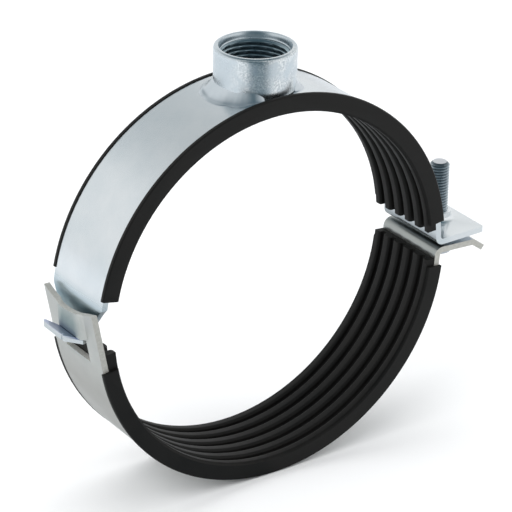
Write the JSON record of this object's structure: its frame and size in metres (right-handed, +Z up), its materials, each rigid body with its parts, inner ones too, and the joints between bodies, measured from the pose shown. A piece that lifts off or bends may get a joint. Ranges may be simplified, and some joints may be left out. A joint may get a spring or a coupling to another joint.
{
  "type": "pipe bracket",
  "caption": "Two-part pipe bracket of sheet steel with a ribbed rubber liner, a hooked side, a bolted side and a threaded socket on top.",
  "frame": {"origin": "centre of the clamped pipe, midway along the bracket's width", "axes": "+Y along the pipe, +Z up through the threaded socket, +X towards the bolted side"},
  "size_m": [0.2312, 0.0464, 0.217],
  "materials": {
    "zinc_steel": "bright zinc plate",
    "zinc_steel_lower": "satin zinc plate",
    "socket_steel": "turned and zinc plated",
    "weld_steel": "plated weld bead",
    "bolt_steel": "zinc plate",
    "liner_rubber": "matt extruded"
  },
  "bodies": {
    "upper_half": {"upper_band": "zinc_steel", "upper_liner": "liner_rubber", "threaded_socket": "socket_steel", "socket_weld": "weld_steel"},
    "lower_half": {"lower_band": "zinc_steel_lower", "lower_liner": "liner_rubber"},
    "bolt_seat": {"bolt_washer": "bolt_steel"},
    "bolt": {"closing_bolt": "bolt_steel"}
  },
  "joints": [
    {"name": "bolt_travel", "type": "slide", "parent": "upper_half", "child": "bolt_seat", "axis": [0, 0, 1], "range_m": [-0.03, 0]},
    {"name": "bolt_turn", "type": "hinge", "parent": "bolt_seat", "child": "bolt", "pos_m": [0.112, 0, 0], "axis": [0, 0, 1], "range_deg": [-7200, 0]},
    {"name": "lower_half_swing", "type": "hinge", "parent": "upper_half", "child": "lower_half", "pos_m": [-0.0987, 0, -0.0033], "axis": [0, 1, 0], "range_deg": [0, 7.64]}
  ],
  "couplings": [
    {"joint": "bolt_turn", "follows": "bolt_travel", "rad_per_m": 4188.8},
    {"joint": "lower_half_swing", "follows": "bolt_travel", "rad_per_m": -4.4444}
  ]
}
